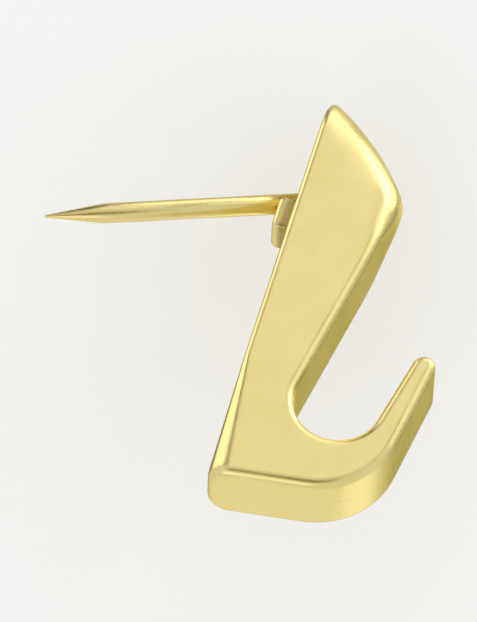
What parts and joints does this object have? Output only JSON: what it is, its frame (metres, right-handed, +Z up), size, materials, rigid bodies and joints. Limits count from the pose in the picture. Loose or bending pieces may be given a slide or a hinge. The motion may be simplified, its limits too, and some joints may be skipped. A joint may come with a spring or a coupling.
{
  "type": "picture hook",
  "caption": "Push-in picture hook: a slim cast J with an arched thumb head and, from its back, a round steel pin that slopes down into the wall.",
  "frame": {"origin": "where the axis of the pin meets the flat back, in the plane of the wall", "axes": "+Z up the wall as the hook hangs, -Y out of the wall towards the room, X across the hook"},
  "size_m": [0.0038, 0.0211, 0.0231],
  "materials": {
    "plated_casting": "satin",
    "plated_pin": "polished"
  },
  "bodies": {
    "root": {"hook_body": "plated_casting", "push_pin": "plated_pin"}
  },
  "joints": []
}
